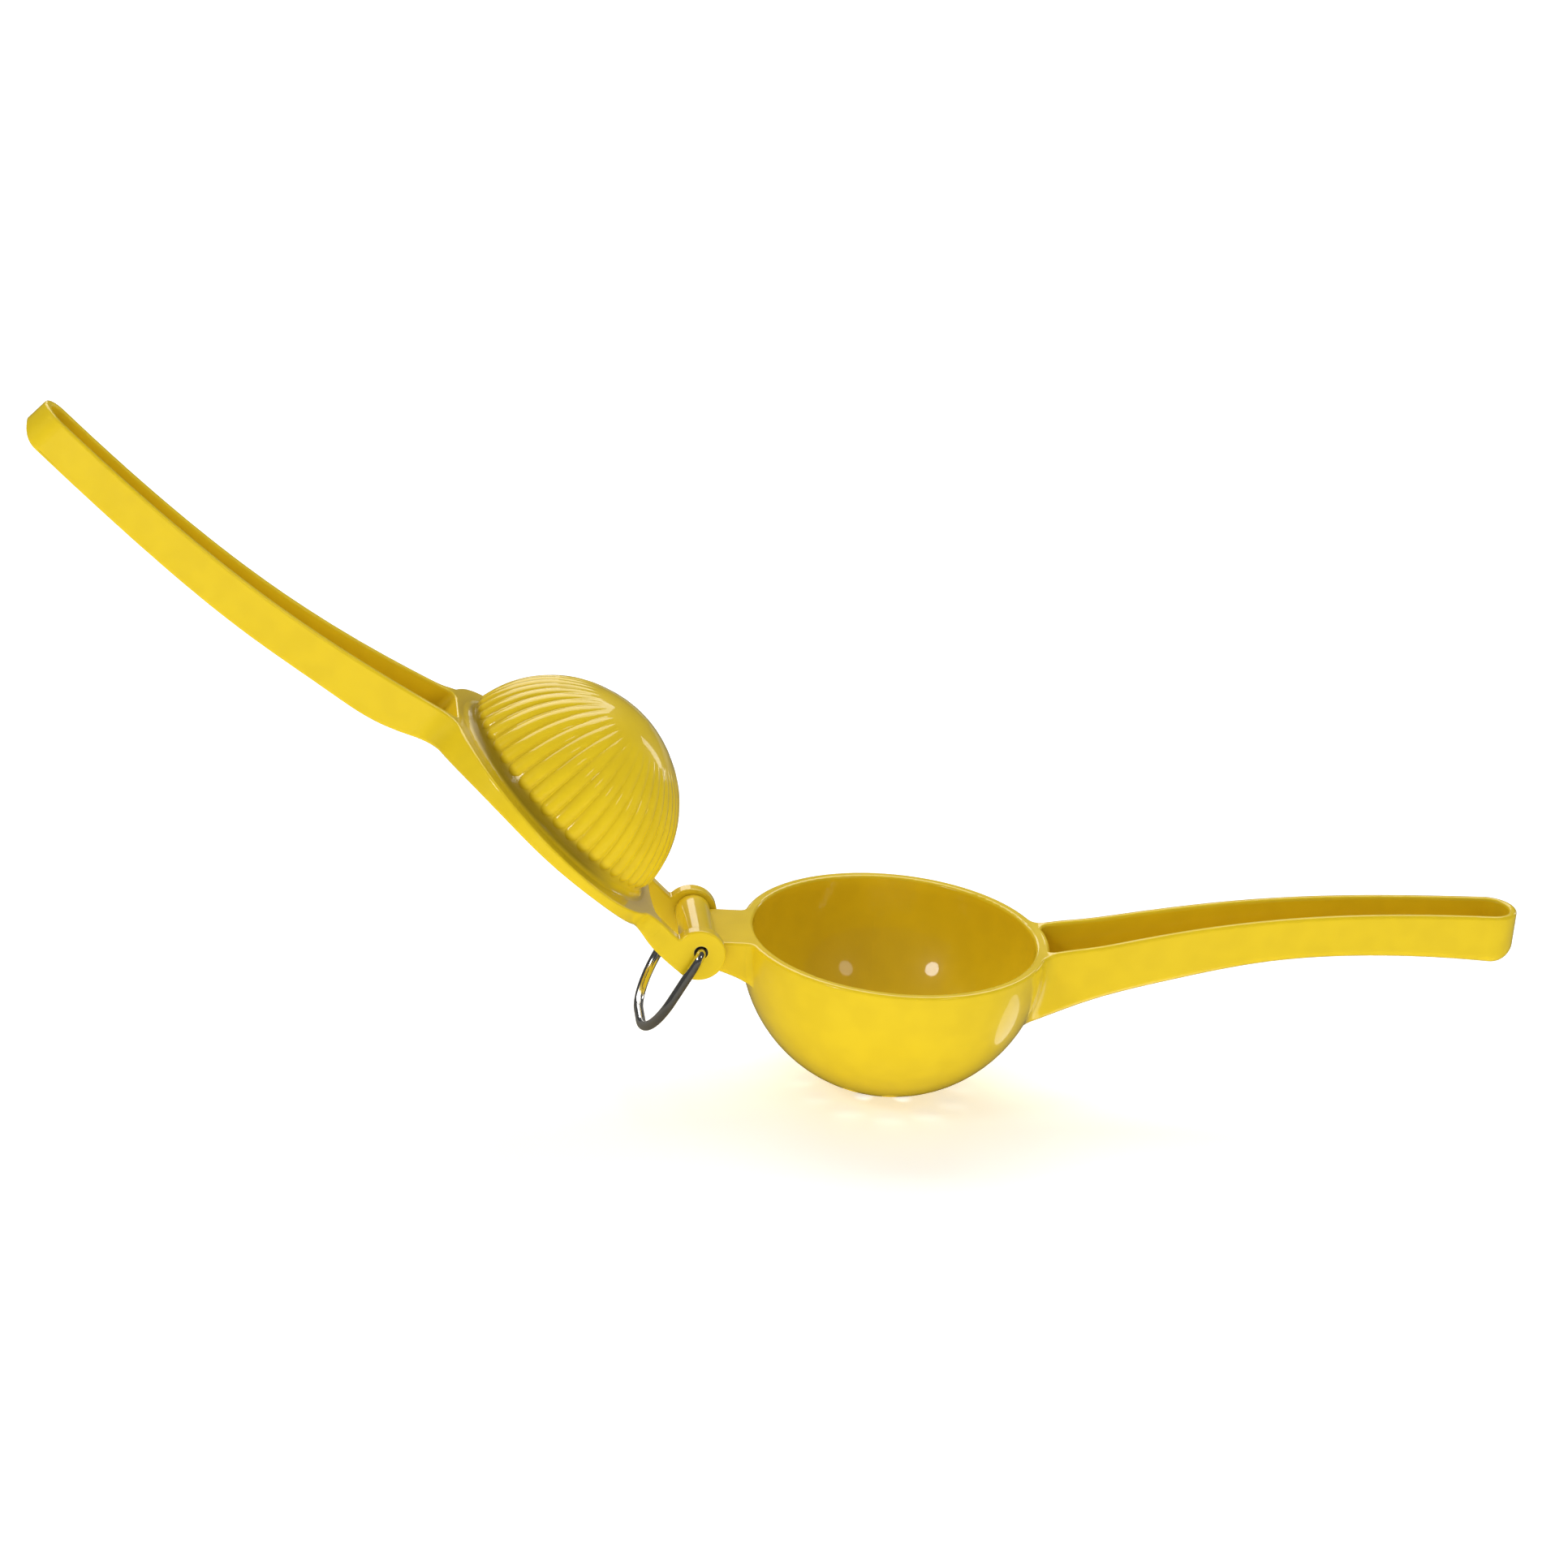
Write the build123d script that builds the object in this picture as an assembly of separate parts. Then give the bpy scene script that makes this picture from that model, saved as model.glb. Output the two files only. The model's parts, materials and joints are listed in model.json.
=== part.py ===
"""Hinged lemon squeezer: two castings, a hollow hinge pin and a hanging wire bail.

Millimetres. Origin at the centre of the cup's rim, +X along the lower handle, +Z up out of the cup.
The press arm is drawn closed, dome down, and then opened about the hinge.
"""

import os
from math import cos, hypot, radians, sin

from build123d import *

# ---- sizes that drive the tool ----------------------------------------------------------------
DOME_R = 30.8               # outside of the pressing dome, over its ribs
DOME_WALL = 2.8
DOME_GAP = 4.4              # room for the peel between the dome and the cup
CUP_WALL = 2.7
CUP_BAND = 2.8              # straight band under the cup's rim
HINGE_SET = 11.5            # hinge axis beyond the cup's outside
HINGE_Z = -1.1
REACH = 118.1               # both handles' tips beyond the cup's outside
OPEN_ANGLE = 137.5          # how far the press arm stands open

DRAIN_R = 2.0
DRAIN_PITCH = 9.5           # from ring to ring of drain holes
DRAIN_RINGS = 3             # the first is a single hole

BARREL_R = 4.4
TONGUE_HALF = 10.6
TONGUE_ROUND = 1.2
TONGUE_ROOT = 2.0           # hollow fillet between tongue and cup

FACE_Z = 0.4                # dome side of the flange, closed
FLANGE_LEDGE = 5.2          # flange beyond the dome's foot
DOME_FOOT = 2.0             # hollow fillet where the dome meets the flange
RIBS = 45
RIB_R = 2.6
RIB_RISE = 0.75             # how far the ribs stand off the ball below them
RIB_TOP = 24.0              # degrees from the dome's crown where a rib has sunk into the ball
RIB_FOOT = 9.0              # degrees from the flange to the centre of a rib's round end

EAR_PLAY = 0.3              # side play of the tongue between the ears
EAR_THICK = 3.6
LUG_R = 6.55                # lug end of each ear, set a little off the hinge
LUG_DX, LUG_DZ = -0.4, 0.9
WAIST = 8.0                 # fillets where ears and handle leave the flange
SLOT_SIDE, SLOT_MID = 0.3, 1.5  # how far the slot between the ears runs in from the flange's edge
SLOT_CORNER = 1.5

WALL = 1.9                  # side walls of both channel handles
FLOOR = 2.3                 # their backs
LOW_TIP = 7.0               # half width of each handle at its round tip
TOP_TIP = 5.8
HANDLE_ROOT = 5.0           # hollow fillet between lower handle and cup
WEB = 0.6                   # least solid between the cup's outside and the lower channel
LIP_EASE = 8.0              # bend where each handle's open edges leave the rim
LOW_ROUND = 2.0             # roundings: lower handle's back, press arm's outline, rims, channels
TOP_ROUND = 0.6
RIM_ROUND = 0.8
LIP_ROUND = 0.5
CHANNEL_ROUND = 1.5
POCKET_IN = 2.0             # upper channel's start, in from the flange's edge
POCKET_CORNER = 1.8

PIN_R = 1.75
PIN_WALL = 0.4
PIN_SLOT = 0.6
PIN_RECESS = 0.5
PIN_PLAY = 0.05             # radial play in the barrel
WIRE_R = 1.2
BAIL_ANGLE = 243.5          # the bail's plane, from +X towards +Z
BAIL_PLAY = 0.5             # between the bail's legs and the ears
BAIL_DROP = 26.8
BAIL_CORNER = 13.0
BAIL_BEND = 2.1
BAIL_REACH = 4.0            # how far each end goes into the pin

PAST = 1.0                  # handle blanks run this far past the tips
SKY = 40.0                  # taller than anything: blanks run up to here before they are trimmed

# Lower handle as (distance beyond the cup's outside, height): open edges, underside; then half widths.
LOW_EDGE = ((-1.4, 0), (3.1, 1.1), (10.1, 2.3), (22.1, 4.9), (46.1, 9.7), (70.1, 12.7), (100.1, 14.3),
            (REACH + PAST, 14.6))
LOW_UNDER = ((-9.9, -21.6), (2.1, -16.2), (10.1, -12.7), (30.1, -6.5), (54.1, -0.7), (78.1, 2.0),
             (REACH + PAST, 1.6))
LOW_HALF = ((-7.9, 10.1), (10.1, 9.6), (30.1, 8.5), (54.1, 7.6), (78.1, 7.05), (REACH - LOW_TIP, LOW_TIP))
TONGUE_UNDER = ((HINGE_SET, HINGE_Z - BARREL_R), (6.3, -7.8), (3.2, -8.9), (-0.5, -10.6), (-4.9, -14))

# Upper casting, closed, the same way; EAR_BACK is its back on the hinge side, then come flange and handle.
TOP_EDGE = ((-2.9, FACE_Z), (6.1, 2.9), (22.1, 6.9), (46.1, 11.5), (70.1, 14.2), (REACH + PAST, 15.8))
EAR_BACK = ((6.1, 6.65), (1.2, 6.45), (-4.4, 5.3), (-13.9, 3.7))
FLANGE_BACK = ((-33.9, 3.6), (-17.9, 4.6))
TOP_BACK = ((-5.9, 7.6), (2.1, 11.7), (10.1, 15.1), (22.1, 17.7), (46.1, 21.6), (78.1, 24.1),
            (REACH + PAST, 24.6))
TOP_HALF = ((-7.9, 10.2), (6.1, 8.65), (22.1, 7.5), (46.1, 6.5), (70.1, 5.95), (REACH - TOP_TIP, TOP_TIP))

CUP_IN = DOME_R + DOME_GAP
CUP_R = CUP_IN + CUP_WALL
BALL_R = DOME_R - RIB_RISE  # the smooth ball that carries the ribs
FLANGE_R = DOME_R + FLANGE_LEDGE
HINGE_X = -CUP_R - HINGE_SET
TIP_X = CUP_R + REACH + PAST
SPAN = 2 * CUP_R            # wider than anything
EAR_IN = TONGUE_HALF + EAR_PLAY
EAR_OUT = EAR_IN + EAR_THICK
BAIL_HALF = EAR_OUT + BAIL_PLAY + WIRE_R
HINGE = Pos(HINGE_X, 0, HINGE_Z)


# ---- helpers ----------------------------------------------------------------------------------
def beyond(points, lift=0.0, side=1):
    """Points given from the cup's outside, placed on the handle's side (1) or the hinge's (-1)."""
    return [(side * (CUP_R + x), z + lift) for x, z in points]


def across(face, half):
    """A side-view face carried both ways across the tool."""
    return extrude(Pos(0, half, 0) * (Plane.XZ * face), 2 * half)


def upright(face):
    """A plan-view face carried up and down."""
    return extrude(Pos(0, 0, -SPAN) * face, 2 * SPAN)


def cross_bar(radius, half):
    """A round bar on the hinge axis."""
    return HINGE * Rot(90, 0, 0) * Cylinder(radius, 2 * half)


def closed(curve, *corners):
    """A face from one curve and the straight lines that close it."""
    points = [curve @ 1, *corners, curve @ 0]
    return make_face([curve, *[Line(a, b) for a, b in zip(points, points[1:])]])


def plan_of(half, inset=0.0):
    """Plan view of a handle: two mirrored sides and a round tip."""
    near_side = Spline(*[(x, inset - y) for x, y in beyond(half)])
    far_side = Spline(*[(x, y - inset) for x, y in beyond(half)])
    end = far_side @ 1
    tip = ThreePointArc(end, (end.X + end.Y, 0), (end.X, -end.Y))
    return make_face([near_side, far_side, tip, Line(near_side @ 0, far_side @ 0)])


def tip_rounded(face, radius, up):
    """The face with its outer tip corner rounded; up says whether that corner is the upper one."""
    corner = min(face.vertices(), key=lambda v: (v.X < TIP_X - 0.01, -v.Y if up else v.Y))
    return fillet(corner, radius)


def nearest(face, point):
    """The corner of a face that lies at a point."""
    return min(face.vertices(), key=lambda v: (v.center() - Vector(*point)).length)


def along(shape, profile):
    """Edges of the shape that follow the outline of a side view."""
    def follows(edge, curve):
        points = [edge @ t for t in (0.1, 0.5, 0.9)]
        run = abs(points[2].X - points[0].X) + abs(points[2].Z - points[0].Z)
        return run > 0.05 and all(curve.distance_to((p.X, p.Z, 0)) < 0.01 for p in points)
    return [edge for edge in shape.edges() if any(follows(edge, curve) for curve in profile)]


def middle(shape, test):
    """Edges whose middle point passes a test."""
    return [edge for edge in shape.edges() if test(edge @ 0.5)]


def wall_edges(shape, test):
    """Edges whose middle passes a test, without the upright ones and those straight across."""
    def slants(edge):
        run = edge @ 1 - edge @ 0
        return abs(run.Y) + abs(run.X) > 0.05 and abs(run.X) + abs(run.Z) > 0.05
    return [edge for edge in middle(shape, test) if slants(edge)]


def on_bowl(point, radius):
    """Whether a point lies on the bowl's ball or the band above it."""
    drop = min(0, point.Z + CUP_BAND)
    return abs(hypot(point.X, point.Y, drop) - radius) < 0.02


def bowl(radius):
    """Half ball with its band carried up to the sky; its seam faces sideways."""
    arc = CenterArc((0, -CUP_BAND), radius, -90, 90)
    return Rot(0, 0, 90) * revolve(Plane.XZ * closed(arc, (radius, SKY), (0, SKY)), Axis.Z)


# ---- lower casting: cup, tongue, barrel and handle --------------------------------------------
def low_handle(lift=0.0, inset=0.0):
    """The lower handle's blank, or with a lift and an inset the hollow inside it."""
    under = Spline(*beyond(LOW_UNDER, lift))
    side = closed(under, (TIP_X, SKY), ((under @ 0).X, SKY))
    return across(tip_rounded(side, LOW_TIP, up=False), SPAN) & upright(plan_of(LOW_HALF, inset))


def root_edges(body, side):
    """Where the handle (side 1) or the tongue (side -1) leaves the cup."""
    return middle(body, lambda p: on_bowl(p, CUP_R) and p.X * side > CUP_R / 2 and p.Z < SKY - 1)


def low_profile():
    """Side view of everything below the rim and the lower handle's open edges."""
    lip = Spline(*beyond(LOW_EDGE))
    ground = Polyline(lip @ 1, (TIP_X, -SPAN), (-SPAN, -SPAN), (-SPAN, 0), lip @ 0)
    profile = make_face([lip, *ground.edges()])
    return fillet(nearest(profile, lip @ 0), LIP_EASE)


def make_cup_arm():
    blank = low_handle()
    blank = fillet(wall_edges(blank, lambda p: p.X > CUP_R and p.Z < SKY - 1), LOW_ROUND)
    body = fillet(root_edges(bowl(CUP_R) + blank, 1), HANDLE_ROOT)

    under = Spline(*beyond(TONGUE_UNDER, side=-1))
    tongue = across(closed(under, ((under @ 1).X, SKY), (HINGE_X, SKY)), TONGUE_HALF)
    body += fillet(along(tongue, [under]), TONGUE_ROUND)
    body = fillet(root_edges(body, -1), TONGUE_ROOT)

    profile = low_profile()
    body &= across(profile, SPAN)
    hollow = low_handle(FLOOR, WALL) - bowl(CUP_R + WEB)
    hollow = fillet(middle(hollow, lambda p: p.Z < SKY - 1), CHANNEL_ROUND)
    body -= bowl(CUP_IN) + hollow
    tops = along(body, [curve for curve in profile.edges() if curve.center().Y > -1])
    rim = middle(body, lambda p: abs(p.Z) < 0.01 and on_bowl(p, CUP_IN))
    body = fillet(tops + rim, RIM_ROUND)

    drains = [Pos(0, 0, -SKY) * spot * Cylinder(DRAIN_R, SKY)
              for ring in range(DRAIN_RINGS) for spot in PolarLocations(ring * DRAIN_PITCH, max(1, 6 * ring))]
    return body + cross_bar(BARREL_R, TONGUE_HALF) - cross_bar(PIN_R + PIN_PLAY, SKY) - drains


# ---- upper casting: dome, flange, ears and handle, drawn closed -------------------------------
def half_ball(radius):
    """Half ball hanging from the flange face; its seam faces sideways."""
    return Pos(0, 0, FACE_Z) * Rot(0, 0, 90) * Sphere(radius, -90, 0, align=(Align.NONE,) * 3)


def top_profile():
    """Side view of the whole press arm, every corner eased so that one rounding runs round it."""
    lug_x, lug_z = HINGE_X + LUG_DX, HINGE_Z + LUG_DZ
    back = Spline((lug_x, lug_z + LUG_R), *beyond(EAR_BACK, side=-1), *beyond(FLANGE_BACK + TOP_BACK))
    lip = Spline(*beyond(TOP_EDGE))
    notch = (lug_x + (LUG_R ** 2 - (FACE_Z - lug_z) ** 2) ** 0.5, FACE_Z)
    lug = ThreePointArc(notch, (lug_x - LUG_R * 0.6, lug_z - LUG_R * 0.8), back @ 0)
    face = make_face([back, lip, lug, Line(notch, lip @ 0), Line(lip @ 1, back @ 1)])
    for point, radius in ((back @ 0, LIP_EASE), (notch, TOP_ROUND), (lip @ 0, LIP_EASE)):
        face = fillet(nearest(face, point), radius)
    return tip_rounded(face, TOP_TIP, up=True)


def top_plan():
    """Plan view of the press arm: flange, handle and the two ears."""
    plan = Circle(FLANGE_R) + plan_of(TOP_HALF) + Pos(HINGE_X, 0) * Rectangle(-HINGE_X, 2 * EAR_OUT)
    waist = [v for v in plan.vertices() if abs(v.center().length - FLANGE_R) < 0.01 and v.Y]
    side_x, mid_x = SLOT_SIDE - FLANGE_R, SLOT_MID - FLANGE_R
    slot_end = ThreePointArc((side_x, EAR_IN), (mid_x, 0), (side_x, -EAR_IN))
    slot = closed(slot_end, (-SPAN, -EAR_IN), (-SPAN, EAR_IN))
    slot = fillet([v for v in slot.vertices() if v.X > HINGE_X], SLOT_CORNER)
    return fillet(waist, WAIST) - slot


def channel_plan():
    """Plan view of the upper handle's channel."""
    start = FLANGE_R - POCKET_IN
    plan = plan_of(TOP_HALF, WALL) - Pos(start - SPAN / 2, 0) * Rectangle(SPAN, SPAN)
    return fillet([v for v in plan.vertices() if v.X < start + 1], POCKET_CORNER)


def ribs():
    """Bars bent round the dome; each leans in towards the crown until it has sunk into the ball."""
    lean = RIB_RISE / (1 - sin(radians(RIB_TOP)))
    path_r = DOME_R - RIB_R - lean
    bar = revolve(Pos(path_r, 0) * Circle(RIB_R), Axis.Y, 90 - RIB_FOOT - RIB_TOP)
    end = Pos(path_r, 0) * Sphere(RIB_R)
    rib = Pos(lean, 0, FACE_Z) * Rot(0, RIB_FOOT, 0) * (bar + end)
    return [Rot(0, 0, turn * 360 / RIBS) * rib for turn in range(RIBS)]


def make_press_arm():
    profile = top_profile()
    body = across(profile, SPAN) & upright(top_plan())
    body = fillet(along(body, profile.edges()), TOP_ROUND) + half_ball(BALL_R)
    foot = middle(body, lambda p: abs(p.Z - FACE_Z) < 0.01 and abs(hypot(p.X, p.Y) - BALL_R) < 0.01)
    body = fillet(foot, DOME_FOOT)

    ceiling = Spline(*beyond(TOP_BACK, -FLOOR))
    side = closed(ceiling, (TIP_X, -SKY), ((ceiling @ 0).X, -SKY))
    plan = channel_plan()
    channel = across(tip_rounded(side, TOP_TIP, up=True), SPAN) & upright(plan)
    body -= fillet(wall_edges(channel, lambda p: p.Z > -SKY + 1), CHANNEL_ROUND)
    lips = [edge for edge in along(body, profile.edges())
            if plan.face().outer_wire().distance_to(((edge @ 0.5).X, (edge @ 0.5).Y, 0)) < 0.01]
    body = fillet(lips, LIP_ROUND)

    hollow = Pos(0, 0, FACE_Z + SKY / 2) * Cylinder(DOME_R - DOME_WALL, SKY)
    return body + ribs() - half_ball(DOME_R - DOME_WALL) - hollow - cross_bar(PIN_R, SKY)


# ---- hinge pin and bail -----------------------------------------------------------------------
def make_hinge_pin():
    """Hollow split pin, its ends a little inside the ears' faces; the split looks at the tongue's foot."""
    half = EAR_OUT - PIN_RECESS
    split = HINGE * Pos(0, 0, -PIN_R) * Box(PIN_SLOT, 2 * SKY, 2 * PIN_R)
    return cross_bar(PIN_R, half) - cross_bar(PIN_R - PIN_WALL, SKY) - split


def make_bail():
    """Wire loop: two in-turned ends, two legs and a rounded bottom, drawn in its own plane."""
    end, side = EAR_OUT - BAIL_REACH, BAIL_HALF
    path = Polyline((end, 0), (side, 0), (side, BAIL_DROP), (-side, BAIL_DROP), (-side, 0), (-end, 0))
    for height, radius in ((0, BAIL_BEND), (BAIL_DROP, BAIL_CORNER)):
        bends = [v for v in path.vertices() if abs(v.X) > side - 0.01 and abs(v.Y - height) < 0.01]
        path = fillet(bends, radius)
    start = Plane(origin=path @ 0, z_dir=path % 0)
    return sweep(start * Circle(WIRE_R), path)


# ---- assemble and write -----------------------------------------------------------------------
opened = HINGE * Rot(0, -OPEN_ANGLE, 0) * HINGE.inverse()
hang = radians(BAIL_ANGLE)
bail_plane = Plane(origin=(HINGE_X, 0, HINGE_Z), x_dir=(0, 1, 0), z_dir=(sin(hang), 0, -cos(hang)))
nodes = {
    "cup_arm": make_cup_arm(),
    "press_arm": opened * make_press_arm(),
    "hinge_pin": opened * make_hinge_pin(),
    "hanging_bail": bail_plane * make_bail(),
}
os.makedirs("parts", exist_ok=True)
for name, solid in nodes.items():
    export_step(solid, f"parts/{name}.step")
    print(name, solid.is_valid, len(solid.solids()), round(solid.volume), solid.bounding_box())
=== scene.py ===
"""Hinged lemon squeezer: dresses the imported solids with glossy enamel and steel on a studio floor."""

import json
import math

import bmesh
import bpy
from mathutils import Matrix, Vector


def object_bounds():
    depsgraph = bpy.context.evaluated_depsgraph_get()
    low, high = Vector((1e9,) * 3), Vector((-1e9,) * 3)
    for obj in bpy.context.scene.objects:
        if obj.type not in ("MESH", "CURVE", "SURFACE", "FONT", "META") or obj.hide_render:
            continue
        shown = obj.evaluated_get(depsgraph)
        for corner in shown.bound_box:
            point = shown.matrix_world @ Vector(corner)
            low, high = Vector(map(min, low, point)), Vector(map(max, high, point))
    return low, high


bl_info = {
    "name": "Hinged lemon squeezer",
    "version": (1, 0, 0),
    "blender": (4, 5, 0),
    "location": "View3D > Sidebar > Squeezer",
    "description": "Enamelled castings, hollow hinge pin and wire loop of a hinged lemon squeezer",
    "category": "Object",
}

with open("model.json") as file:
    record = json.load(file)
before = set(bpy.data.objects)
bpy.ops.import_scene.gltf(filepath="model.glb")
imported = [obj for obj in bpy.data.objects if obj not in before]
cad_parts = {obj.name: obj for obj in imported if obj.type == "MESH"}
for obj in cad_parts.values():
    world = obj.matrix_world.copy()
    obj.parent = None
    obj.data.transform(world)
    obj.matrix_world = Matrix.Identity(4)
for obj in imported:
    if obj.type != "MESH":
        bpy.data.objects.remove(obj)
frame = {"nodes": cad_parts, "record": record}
CAD_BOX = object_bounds()
TABLE = CAD_BOX[0][2]               # the cup's lowest point
JOINTS = {joint["name"]: joint for joint in frame["record"]["behaviour"]["joints"]}
PIVOT = Vector(JOINTS["press_hinge"]["pos_m"])
MM = 0.001

# The press arm as it stands open, to find its dome.
OPEN_ANGLE = math.radians(137.5)
HINGE_TO_DOME = 49.4                # mm along the flange, from the hinge to the dome's axis
HINGE_TO_FACE = 1.5                 # mm from the hinge up to the flange's face
DOME_TILT = math.pi - OPEN_ANGLE
COS, SIN = math.cos(OPEN_ANGLE), math.sin(OPEN_ANGLE)
DOME_CENTRE = PIVOT + Vector((COS * HINGE_TO_DOME - SIN * HINGE_TO_FACE, 0,
                              SIN * HINGE_TO_DOME + COS * HINGE_TO_FACE)) * MM

# Painted shade: the dark line round the dome's foot, in mm: where each mask is 0 and where it is 1.
FOOT_TOP = (4.9, 2.3)               # height over the flange's face
FOOT_BOTTOM = (-0.1, 1.0)
FOOT_OUT = (32.6, 31.2)             # distance from the dome's axis
FOOT_IN = (28.4, 29.0)              # leaves out the hollow behind the dome
FOOT_FADE = (24, 4)                 # along the flange; the line fades out towards the hinge
FOOT_STRENGTH = 0.8
FOOT_SHADE = 0.35                   # its colour against the shade-and-mottle colour

# How far each mask moves the enamel's colour (painted shade in recesses, random mottling, painted highlight
# along edges), and the enamel's gloss.
RECESS_SHADE_SHARE = 0.45
CLOUD_SHARE = 0.10
EDGE_HIGHLIGHT_SHARE = 0.7
SMUDGE_WAVES = 45.0                 # to the metre
SMUDGE_DETAIL = 4.0
SMUDGE_RANGE = (0.45, 0.75)
ENAMEL_ROUGHNESS = (0.30, 0.42)     # clean and smudged
ENAMEL_SPECULAR = 0.15              # under the coat
COAT_ROUGHNESS = 0.055
COAT_IOR = 1.42

# Steel: handling marks, and darkening in its recesses.
MARKS = {"Slow": 700.0, "Fine": 4200.0, "Fine_Share": 0.2}
MARK_HEIGHT = 0.00001               # m
RECESS_DARK_REACH = 0.0012                # m
RECESS_DARK_SHARE = 0.8
RECESS_DARK_COLOUR = (0.04, 0.035, 0.03)
WORN_ROUGHNESS = 1.8                # handled steel against clean
PIN_ROUGHNESS = 0.30
WIRE_ROUGHNESS = 0.10

# Floor and room, and the darker ones that mirror rays see.
FLOOR_TONE = (0.90, 0.90, 0.90)
MIRRORED_FLOOR = (0.14, 0.135, 0.12)
FLOOR_HALF = 12                     # m
ROOM_LIGHT = 0.41
MIRRORED_ROOM = 0.06

# Each light: name, place, point that it looks at, size (m), power (W), and what sets it apart.
LIGHTS = (
    ("back softbox", (-0.10, 1.05, 1.36), (-0.05, 0, 0), (2.0, 1.3), 21, {}),
    ("back panel", (-0.21, 1.38, 0.55), (-0.08, 0, 0.02), (0.46, 0.30), 1.0, {}),
    ("right strip", (1.15, 0.95, 0.25), (-0.05, 0, 0.03), (0.16, 0.7), 0.9, {}),
    ("key lamp", (-0.85, -0.65, 0.75), (-0.05, 0, 0.03), (0.26, 0.26), 2.2, {"shape": "ELLIPSE"}),
    ("front lamp", (0.75, -0.85, 0.95), (0, 0, 0), (0.3, 0.3), 0.7, {"shape": "ELLIPSE"}),
    ("fill", (-0.03, -0.50, -0.005), (0, 0, 0), (0.4, 0.06), 0.60, {"mirrored": False}),
    ("low card", (0.072, -0.012, TABLE + 0.001), (0.072, -0.012, 1), (0.056, 0.024), 0.0036,
     {"lights_walls": False, "shape": "ELLIPSE"}),
    ("back card", (0.10, 0.42, 0.0), (-0.05, 0, 0.03), (0.30, 0.06), 0.007, {"lights_walls": False}),
)

# Camera: the frame and where the middle of the cup's mouth lies in it, in pixels.
FRAME_PX = 1932
MOUTH_PX = Vector((1102.5, 1150.0))
SENSOR_MM = 36
CLIP = (0.05, 50)                   # m


# ---- settings -----------------------------------------------------------------------------------
class EnamelSettings(bpy.types.PropertyGroup):
    colour: bpy.props.FloatVectorProperty(
        name="Enamel colour", description="Colour of the enamel on open, even walls",
        default=(0.84, 0.60, 0.014), size=3, min=0, max=1, subtype="COLOR")
    # Painted shade in recesses, and random mottling, move the enamel towards this colour.
    shade_and_mottle_colour: bpy.props.FloatVectorProperty(
        name="Shade and mottle colour", description="Colour that painted shade in recesses and random mottling move the enamel towards",
        default=(0.50, 0.315, 0.006), size=3, min=0, max=1, subtype="COLOR")
    # Painted highlight along edges.
    edge_highlight_colour: bpy.props.FloatVectorProperty(
        name="Edge highlight colour", description="Colour of the painted highlight along edges",
        default=(0.95, 0.78, 0.13), size=3, min=0, max=1, subtype="COLOR")
    ripple: bpy.props.FloatProperty(
        name="Ripple height", description="Height of the slow ripple left in the sprayed coat",
        default=0.00004, min=0, max=0.001, precision=6, unit="LENGTH")
    # Reach of the painted shade in recesses.
    recess_shade_reach: bpy.props.FloatProperty(
        name="Recess shade reach", description="How near two walls lie for painted shade between them",
        default=0.006, min=0, max=0.02, precision=4, unit="LENGTH")


class SteelSettings(bpy.types.PropertyGroup):
    wire_colour: bpy.props.FloatVectorProperty(
        name="Wire colour", description="Colour of the polished wire of the hanging loop",
        default=(0.78, 0.77, 0.75), size=3, min=0, max=1, subtype="COLOR")
    pin_colour: bpy.props.FloatVectorProperty(
        name="Pin colour", description="Colour of the rolled spring pin",
        default=(0.36, 0.35, 0.34), size=3, min=0, max=1, subtype="COLOR")


class StageSettings(bpy.types.PropertyGroup):
    azimuth: bpy.props.FloatProperty(
        name="Azimuth", description="Camera's turn to the right of the tool's front",
        default=math.radians(-9.6), subtype="ANGLE")
    elevation: bpy.props.FloatProperty(
        name="Elevation", description="Camera's height over the cup's rim",
        default=math.radians(23.6), subtype="ANGLE")
    roll: bpy.props.FloatProperty(
        name="Roll", description="How far the camera is rolled, which tips the tool clockwise",
        default=math.radians(6.43), subtype="ANGLE")
    distance: bpy.props.FloatProperty(
        name="Distance", description="Camera's distance from the cup's mouth", default=1.2, min=0.3,
        unit="LENGTH")
    lens: bpy.props.FloatProperty(
        name="Lens", description="Focal length on a 36 mm sensor", default=111.35, min=20, max=400)
    floor_gap: bpy.props.FloatProperty(
        name="Floor gap", description="Clear height between the floor and the cup", default=0.0,
        min=0, unit="LENGTH")
    table_light: bpy.props.FloatProperty(
        name="Table light", description="Light that the floor gives off by itself",
        default=0.42, min=0, max=3)


# ---- materials ----------------------------------------------------------------------------------
def new_material(name):
    """An empty node material and its Principled shader, joined to the output."""
    material = bpy.data.materials.new(name)
    material.use_nodes = True
    nodes = material.node_tree.nodes
    nodes.clear()
    shader = nodes.new("ShaderNodeBsdfPrincipled")
    output = nodes.new("ShaderNodeOutputMaterial")
    material.node_tree.links.new(shader.outputs["BSDF"], output.inputs["Surface"])
    return material, shader


def paint(obj, material):
    """The piece wears one material all over."""
    obj.data.materials.clear()
    obj.data.materials.append(material)


def new_group(name, inputs, outputs):
    """A shader node group with named sockets, and its two ends."""
    group = bpy.data.node_groups.new(name, "ShaderNodeTree")
    for socket, kind, value in inputs:
        made = group.interface.new_socket(socket, in_out="INPUT", socket_type=kind)
        if value is not None:
            made.default_value = value
    for socket, kind in outputs:
        group.interface.new_socket(socket, in_out="OUTPUT", socket_type=kind)
    return group, group.nodes.new("NodeGroupInput"), group.nodes.new("NodeGroupOutput")


def math_node(tree, operation, *values):
    """A Math node; each value is a socket to link or a number to set."""
    node = tree.nodes.new("ShaderNodeMath")
    node.operation = operation
    node.use_clamp = True
    for slot, value in zip(node.inputs, values):
        if isinstance(value, bpy.types.NodeSocket):
            tree.links.new(value, slot)
        else:
            slot.default_value = value
    return node.outputs["Value"]


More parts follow.
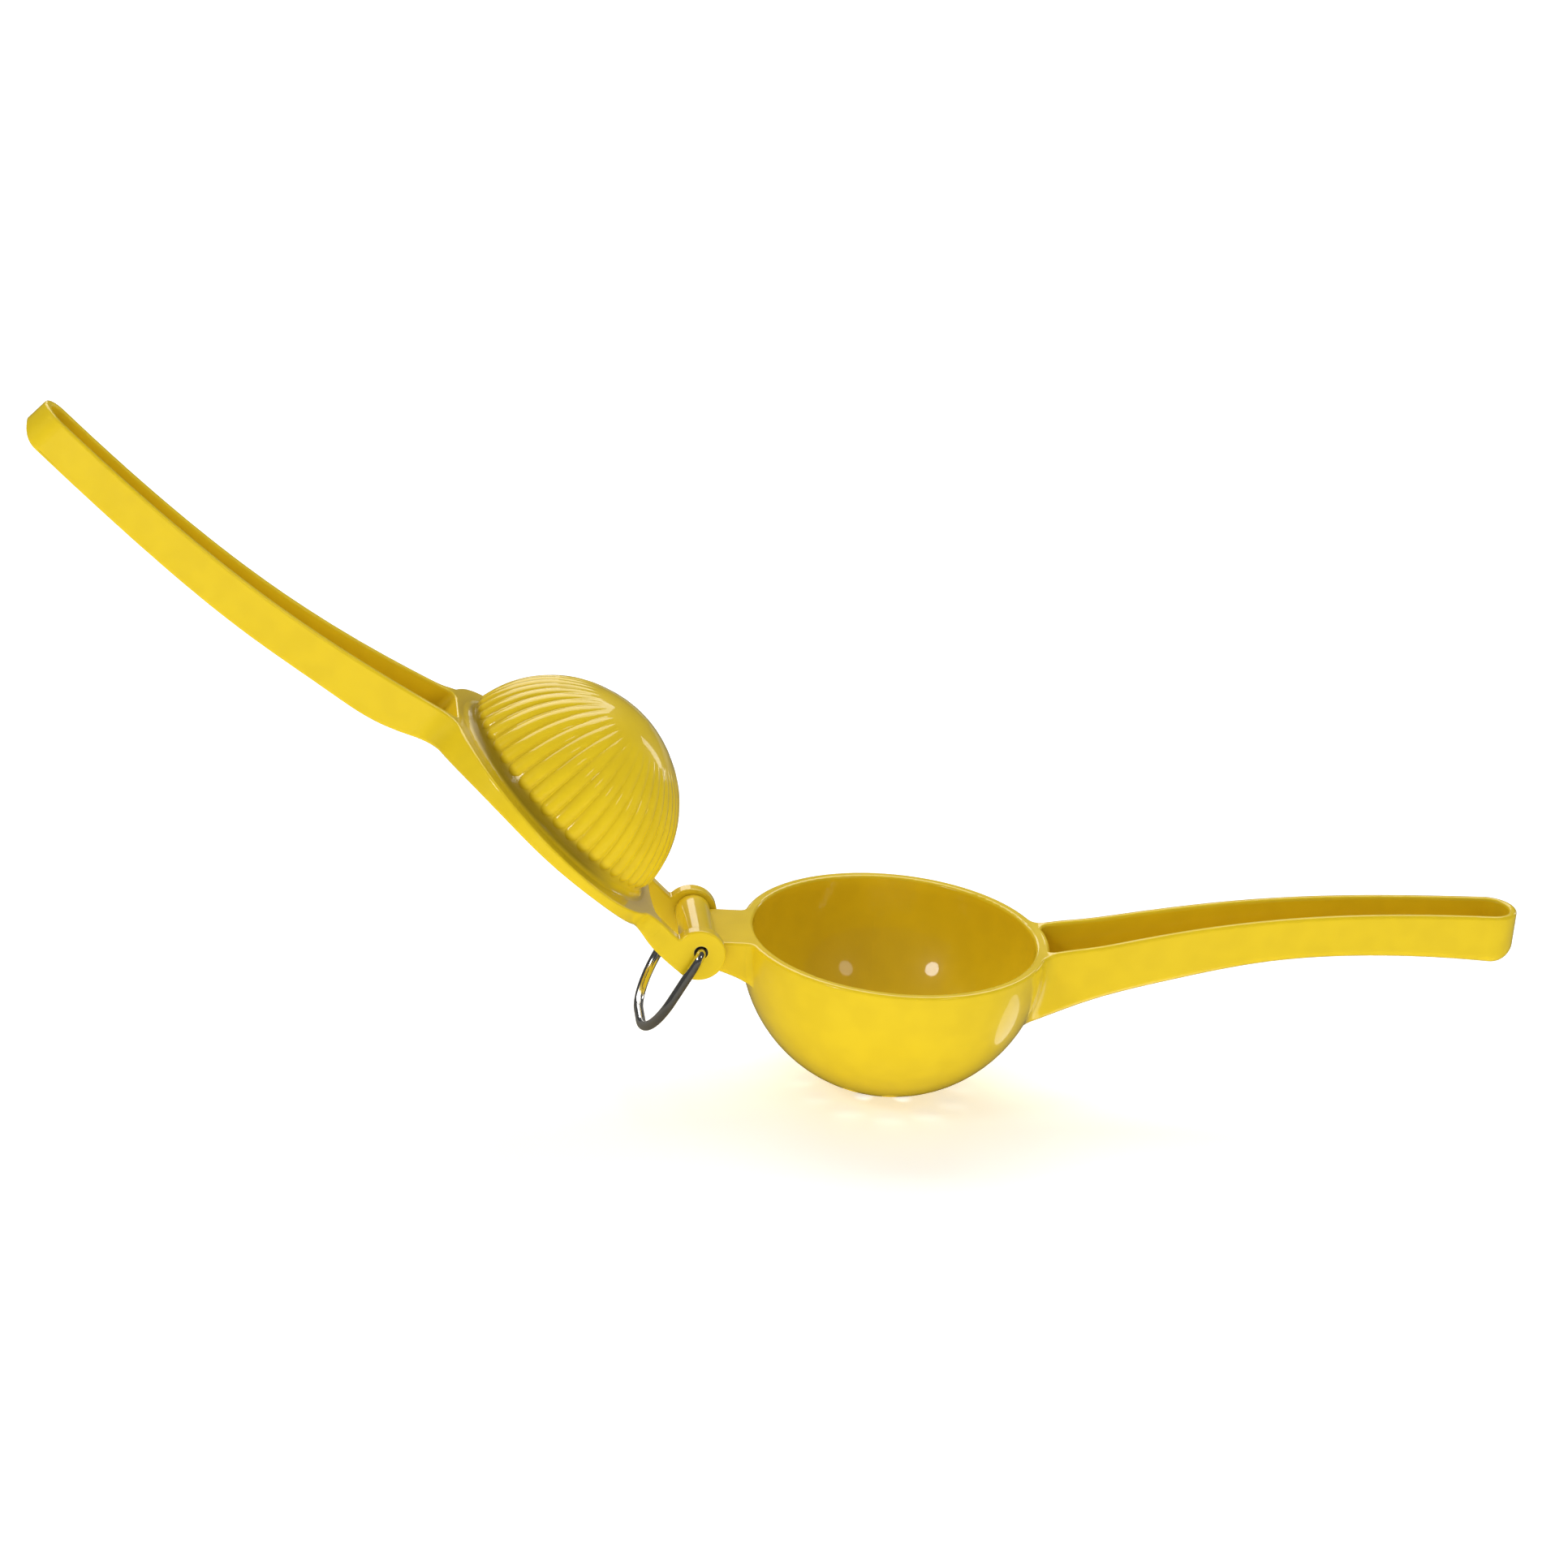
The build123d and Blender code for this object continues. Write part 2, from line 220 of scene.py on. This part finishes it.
def ranged(tree, value, low, high):
    """A value stretched so that low becomes 0 and high becomes 1, with soft ends."""
    node = tree.nodes.new("ShaderNodeMapRange")
    node.interpolation_type = "SMOOTHSTEP"
    node.inputs["From Min"].default_value = low
    node.inputs["From Max"].default_value = high
    tree.links.new(value, node.inputs["Value"])
    return node.outputs["Result"]


def noise_node(tree, coords, scale, detail):
    """A noise pattern, so many waves to the metre."""
    node = tree.nodes.new("ShaderNodeTexNoise")
    node.inputs["Scale"].default_value = scale
    node.inputs["Detail"].default_value = detail
    tree.links.new(coords, node.inputs["Vector"])
    return node.outputs["Fac"]


def blended(tree, factor, first, second):
    """A colour between two; each is a socket to link or a colour to set."""
    node = tree.nodes.new("ShaderNodeMix")
    node.data_type = "RGBA"
    tree.links.new(factor, node.inputs[0])
    for slot, value in ((node.inputs[6], first), (node.inputs[7], second)):
        if isinstance(value, bpy.types.NodeSocket):
            tree.links.new(value, slot)
        else:
            slot.default_value = (*value, 1)
    return node.outputs[2]


def place(tree, group, **links):
    """A group's node in a material, fed by sockets or numbers."""
    node = tree.nodes.new("ShaderNodeGroup")
    node.node_tree = group
    for name, value in links.items():
        slot = node.inputs[name.replace("_", " ")]
        if isinstance(value, bpy.types.NodeSocket):
            tree.links.new(value, slot)
        else:
            slot.default_value = value
    return node


def recess_group():
    """Masks of recesses and of edges: painted shade goes in the recesses and a painted highlight along the
    edges.
    """
    group, start, end = new_group(
        "recess and edge",
        (("Reach", "NodeSocketFloat", 0.003), ("Edge Reach", "NodeSocketFloat", 0.0011)),
        (("Recess", "NodeSocketFloat"), ("Edge", "NodeSocketFloat")))
    for socket, inside, reach, low, high in (("Recess", False, "Reach", 0.95, 0.45),
                                             ("Edge", True, "Edge Reach", 0.75, 0.35)):
        cover = group.nodes.new("ShaderNodeAmbientOcclusion")
        cover.inside = inside
        cover.only_local = True
        cover.samples = 8
        group.links.new(start.outputs[reach], cover.inputs["Distance"])
        group.links.new(ranged(group, cover.outputs["AO"], low, high), end.inputs[socket])
    return group


def ripple_group():
    """Slow ripple and fine orange peel of a sprayed or polished face."""
    group, start, end = new_group(
        "ripple",
        (("Vector", "NodeSocketVector", None), ("Slow", "NodeSocketFloat", 160.0),
         ("Fine", "NodeSocketFloat", 1100.0), ("Fine Share", "NodeSocketFloat", 0.12)),
        (("Height", "NodeSocketFloat"), ("Cloud", "NodeSocketFloat")))
    slow = group.nodes.new("ShaderNodeTexNoise")
    fine = group.nodes.new("ShaderNodeTexNoise")
    for node, scale in ((slow, "Slow"), (fine, "Fine")):
        node.inputs["Detail"].default_value = 1.0
        group.links.new(start.outputs["Vector"], node.inputs["Vector"])
        group.links.new(start.outputs[scale], node.inputs["Scale"])
    share = math_node(group, "MULTIPLY", fine.outputs["Fac"], start.outputs["Fine Share"])
    total = math_node(group, "ADD", math_node(group, "MULTIPLY", slow.outputs["Fac"], 0.8), share)
    group.links.new(total, end.inputs["Height"])
    group.links.new(ranged(group, slow.outputs["Fac"], 0.3, 0.7), end.inputs["Cloud"])
    return group


def shared_groups():
    """The two node groups in every material, built by whichever piece is dressed first."""
    return (bpy.data.node_groups.get("recess and edge") or recess_group(),
            bpy.data.node_groups.get("ripple") or ripple_group())


def set_roughness(tree, shader, mask, low, high):
    """Roughness from low to high as the mask goes from 0 to 1."""
    rough = tree.nodes.new("ShaderNodeMapRange")
    rough.inputs["To Min"].default_value = low
    rough.inputs["To Max"].default_value = high
    tree.links.new(mask, rough.inputs["Value"])
    tree.links.new(rough.outputs["Result"], shader.inputs["Roughness"])


def set_bump(tree, shader, height, distance):
    """Fine relief, so many metres high."""
    bump = tree.nodes.new("ShaderNodeBump")
    bump.inputs["Distance"].default_value = distance
    bump.inputs["Strength"].default_value = 1.0
    tree.links.new(height, bump.inputs["Height"])
    tree.links.new(bump.outputs["Normal"], shader.inputs["Normal"])


def enamel_material(settings, name, recess, ripple, foot=None):
    """Glossy enamel over a casting, with painted shade in recesses and a painted highlight along edges;
    foot makes the mask of a painted shade line that the gloss coat leaves bare.
    """
    material, shader = new_material(name)
    tree = material.node_tree
    coords = tree.nodes.new("ShaderNodeTexCoord").outputs["Object"]
    coat = place(tree, ripple, Vector=coords)
    shade_and_highlight_masks = place(tree, recess, Reach=settings.recess_shade_reach)
    cloud = math_node(tree, "MULTIPLY", coat.outputs["Cloud"], CLOUD_SHARE)
    # Painted shade: the colour goes darker in recesses.
    painted_recess_shade = math_node(tree, "MULTIPLY", shade_and_highlight_masks.outputs["Recess"], RECESS_SHADE_SHARE)
    shade_and_mottle_mix = math_node(tree, "ADD", painted_recess_shade, cloud)
    colour = blended(tree, shade_and_mottle_mix, settings.colour, settings.shade_and_mottle_colour)
    # Painted highlight: the colour goes lighter along edges.
    painted_edge_highlight = math_node(tree, "MULTIPLY", shade_and_highlight_masks.outputs["Edge"], EDGE_HIGHLIGHT_SHARE)
    colour = blended(tree, painted_edge_highlight, colour, settings.edge_highlight_colour)
    # Painted shade round the dome's foot; the gloss coat is taken off there.
    if foot:
        foot_shade_band = foot(tree, coords)
        colour = blended(tree, foot_shade_band, colour, [tone * FOOT_SHADE for tone in settings.shade_and_mottle_colour])
        tree.links.new(math_node(tree, "SUBTRACT", 1.0, foot_shade_band), shader.inputs["Coat Weight"])
    tree.links.new(colour, shader.inputs["Base Color"])
    smudge = ranged(tree, noise_node(tree, coords, SMUDGE_WAVES, SMUDGE_DETAIL), *SMUDGE_RANGE)
    set_roughness(tree, shader, smudge, *ENAMEL_ROUGHNESS)
    set_bump(tree, shader, coat.outputs["Height"], settings.ripple)
    shader.inputs["Coat Weight"].default_value = 1.0
    shader.inputs["Coat Roughness"].default_value = COAT_ROUGHNESS
    shader.inputs["Coat IOR"].default_value = COAT_IOR
    shader.inputs["Specular IOR Level"].default_value = ENAMEL_SPECULAR
    return material


def dome_foot_shade(tree, coords):
    """Mask of the painted shade line round the dome's foot, from heights and distances in the dome's own
    axes.
    """
    turned = tree.nodes.new("ShaderNodeMapping")
    turned.vector_type = "TEXTURE"
    turned.inputs["Location"].default_value = DOME_CENTRE
    turned.inputs["Rotation"].default_value = (0, DOME_TILT, 0)
    tree.links.new(coords, turned.inputs["Vector"])
    parts = tree.nodes.new("ShaderNodeSeparateXYZ")
    tree.links.new(turned.outputs["Vector"], parts.inputs["Vector"])
    flat = tree.nodes.new("ShaderNodeCombineXYZ")
    tree.links.new(parts.outputs["X"], flat.inputs["X"])
    tree.links.new(parts.outputs["Y"], flat.inputs["Y"])
    reach = tree.nodes.new("ShaderNodeVectorMath")
    reach.operation = "LENGTH"
    tree.links.new(flat.outputs["Vector"], reach.inputs[0])
    height, across, along = parts.outputs["Z"], reach.outputs["Value"], parts.outputs["X"]
    foot_shade_band = FOOT_STRENGTH
    for value, (bare, full) in ((height, FOOT_TOP), (across, FOOT_OUT), (height, FOOT_BOTTOM),
                                (across, FOOT_IN), (along, FOOT_FADE)):
        foot_shade_band = math_node(tree, "MULTIPLY", foot_shade_band, ranged(tree, value, bare * MM, full * MM))
    return foot_shade_band


def steel_material(name, colour, recess, ripple, roughness):
    """Bright steel, darker in its corners, with fine handling marks."""
    material, shader = new_material(name)
    tree = material.node_tree
    coords = tree.nodes.new("ShaderNodeTexCoord").outputs["Object"]
    marks = place(tree, ripple, Vector=coords, **MARKS)
    # The steel goes darker in its recesses.
    recess_darkening = place(tree, recess, Reach=RECESS_DARK_REACH)
    dark = math_node(tree, "MULTIPLY", recess_darkening.outputs["Recess"], RECESS_DARK_SHARE)
    tree.links.new(blended(tree, dark, colour, RECESS_DARK_COLOUR), shader.inputs["Base Color"])
    set_roughness(tree, shader, marks.outputs["Cloud"], roughness, roughness * WORN_ROUGHNESS)
    set_bump(tree, shader, marks.outputs["Height"], MARK_HEIGHT)
    shader.inputs["Metallic"].default_value = 1.0
    return material


# ---- pieces -------------------------------------------------------------------------------------
class SQUEEZER_OT_castings(bpy.types.Operator):
    """Enamels the two castings"""
    bl_idname = "squeezer.castings"
    bl_label = "Castings"

    def execute(self, context):
        settings = context.scene.squeezer_enamel
        groups = shared_groups()
        paint(frame["nodes"]["cup_arm"], enamel_material(settings, "cup enamel", *groups))
        paint(frame["nodes"]["press_arm"], enamel_material(settings, "press enamel", *groups, dome_foot_shade))
        return {"FINISHED"}


class SQUEEZER_OT_hinge_pin(bpy.types.Operator):
    """Finishes the hollow hinge pin"""
    bl_idname = "squeezer.hinge_pin"
    bl_label = "Hinge pin"

    def execute(self, context):
        settings = context.scene.squeezer_steel
        steel = steel_material("pin steel", settings.pin_colour, *shared_groups(), PIN_ROUGHNESS)
        paint(frame["nodes"]["hinge_pin"], steel)
        return {"FINISHED"}


class SQUEEZER_OT_bail(bpy.types.Operator):
    """Finishes the hanging wire loop"""
    bl_idname = "squeezer.bail"
    bl_label = "Wire loop"

    def execute(self, context):
        settings = context.scene.squeezer_steel
        steel = steel_material("wire steel", settings.wire_colour, *shared_groups(), WIRE_ROUGHNESS)
        paint(frame["nodes"]["hanging_bail"], steel)
        return {"FINISHED"}


# ---- stage --------------------------------------------------------------------------------------
def camera_turn(settings):
    """The axes of a camera that looks straight at the cup's mouth, and the way it looks."""
    az, el, roll = settings.azimuth, settings.elevation, settings.roll
    right = Vector((math.cos(az), math.sin(az), 0))
    ahead = Vector((-math.sin(az) * math.cos(el), math.cos(az) * math.cos(el), -math.sin(el)))
    up = right.cross(ahead)
    tipped_right = right * math.cos(roll) + up * math.sin(roll)
    tipped_up = up * math.cos(roll) - right * math.sin(roll)
    at_mouth = Matrix((tipped_right, tipped_up, -ahead)).transposed()
    return at_mouth, ahead


def add_camera(settings):
    """The camera, with the middle of the cup's mouth in its place in the frame."""
    turn, ahead = camera_turn(settings)
    focal_px = settings.lens / SENSOR_MM * FRAME_PX
    offset = MOUTH_PX - Vector((FRAME_PX / 2, FRAME_PX / 2))
    seen = Vector((offset.x, -offset.y, -focal_px)).normalized()
    aim = seen.rotation_difference(Vector((0, 0, -1))).to_matrix()
    data = bpy.data.cameras.new("camera")
    data.lens = settings.lens
    data.sensor_width = SENSOR_MM
    data.clip_start, data.clip_end = CLIP
    camera = bpy.data.objects.new("camera", data)
    camera.matrix_world = Matrix.Translation(-ahead * settings.distance) @ (turn @ aim).to_4x4()
    bpy.context.scene.collection.objects.link(camera)
    bpy.context.scene.camera = camera
    return camera


def add_light(name, spot, aim, size, power, lights_walls=True, mirrored=True, shape="RECTANGLE"):
    """An area light that looks at a point, out of the camera's sight.

    Without lights_walls it shows in reflections only; without mirrored it shows in none.
    """
    data = bpy.data.lights.new(name, "AREA")
    data.shape = shape
    data.size, data.size_y = size
    data.energy = power
    light = bpy.data.objects.new(name, data)
    light.location = spot
    light.visible_camera = False
    light.visible_diffuse = lights_walls
    light.visible_glossy = mirrored
    light.rotation_euler = (Vector(aim) - Vector(spot)).to_track_quat("-Z", "Y").to_euler()
    bpy.context.scene.collection.objects.link(light)
    return light


def add_floor(height, table_light):
    """One big pale sheet that gives off light, as a light table does; mirror rays see it dark and unlit."""
    shape = bmesh.new()
    bmesh.ops.create_grid(shape, x_segments=1, y_segments=1, size=FLOOR_HALF)
    bmesh.ops.translate(shape, verts=shape.verts, vec=(0, 0, height))
    mesh = bpy.data.meshes.new("floor")
    shape.to_mesh(mesh)
    shape.free()
    floor = bpy.data.objects.new("floor", mesh)
    bpy.context.scene.collection.objects.link(floor)
    material, shader = new_material("floor paper")
    tree = material.node_tree
    ray = tree.nodes.new("ShaderNodeLightPath")
    tone = tree.nodes.new("ShaderNodeMix")
    tone.data_type = "RGBA"
    tone.inputs["A"].default_value = (*FLOOR_TONE, 1)
    tone.inputs["B"].default_value = (*MIRRORED_FLOOR, 1)
    tree.links.new(ray.outputs["Is Glossy Ray"], tone.inputs["Factor"])
    tree.links.new(tone.outputs["Result"], shader.inputs["Base Color"])
    glow = tree.nodes.new("ShaderNodeMapRange")
    glow.inputs["To Min"].default_value = table_light
    glow.inputs["To Max"].default_value = 0.0
    tree.links.new(ray.outputs["Is Glossy Ray"], glow.inputs["Value"])
    tree.links.new(glow.outputs["Result"], shader.inputs["Emission Strength"])
    shader.inputs["Emission Color"].default_value = (1, 1, 1, 1)
    shader.inputs["Roughness"].default_value = 0.9
    shader.inputs["Specular IOR Level"].default_value = 0.1
    paint(floor, material)
    return floor


def add_world(light, mirrored):
    """White room light, held back in mirror reflections so that the enamel keeps its depth."""
    world = bpy.data.worlds.new("studio")
    world.use_nodes = True
    tree = world.node_tree
    ray = tree.nodes.new("ShaderNodeLightPath")
    level = tree.nodes.new("ShaderNodeMapRange")
    level.inputs["To Min"].default_value = light
    level.inputs["To Max"].default_value = mirrored
    tree.links.new(ray.outputs["Is Glossy Ray"], level.inputs["Value"])
    tree.links.new(level.outputs["Result"], tree.nodes["Background"].inputs["Strength"])
    tree.nodes["Background"].inputs["Color"].default_value = (1, 1, 1, 1)
    bpy.context.scene.world = world


class SQUEEZER_OT_stage(bpy.types.Operator):
    """Sets up the floor, the soft lights and the camera"""
    bl_idname = "squeezer.stage"
    bl_label = "Stage"

    def execute(self, context):
        settings = context.scene.squeezer_stage
        floor = add_floor(CAD_BOX[0][2] - settings.floor_gap, settings.table_light)
        lights = [add_light(*light, **apart) for *light, apart in LIGHTS]
        add_world(ROOM_LIGHT, MIRRORED_ROOM)
        context.scene.view_settings.view_transform = "Standard"
        camera = add_camera(settings)
        return {"FINISHED"}


class SQUEEZER_PT_panel(bpy.types.Panel):
    bl_idname = "SQUEEZER_PT_panel"
    bl_label = "Lemon squeezer"
    bl_space_type = "VIEW_3D"
    bl_region_type = "UI"
    bl_category = "Squeezer"

    def draw(self, context):
        for operator in OPERATORS:
            self.layout.operator(operator.bl_idname)


SETTINGS = {
    "squeezer_enamel": EnamelSettings,
    "squeezer_steel": SteelSettings,
    "squeezer_stage": StageSettings,
}
OPERATORS = (SQUEEZER_OT_castings, SQUEEZER_OT_hinge_pin, SQUEEZER_OT_bail, SQUEEZER_OT_stage)


def register():
    for cls in (*SETTINGS.values(), *OPERATORS, SQUEEZER_PT_panel):
        bpy.utils.register_class(cls)
    for name, cls in SETTINGS.items():
        setattr(bpy.types.Scene, name, bpy.props.PointerProperty(type=cls))


def unregister():
    for name in SETTINGS:
        delattr(bpy.types.Scene, name)
    for cls in (SQUEEZER_PT_panel, *reversed(OPERATORS), *reversed(SETTINGS.values())):
        bpy.utils.unregister_class(cls)


def main():
    register()
    bpy.ops.squeezer.castings()
    bpy.ops.squeezer.hinge_pin()
    bpy.ops.squeezer.bail()
    bpy.ops.squeezer.stage()


if __name__ == "__main__":
    main()
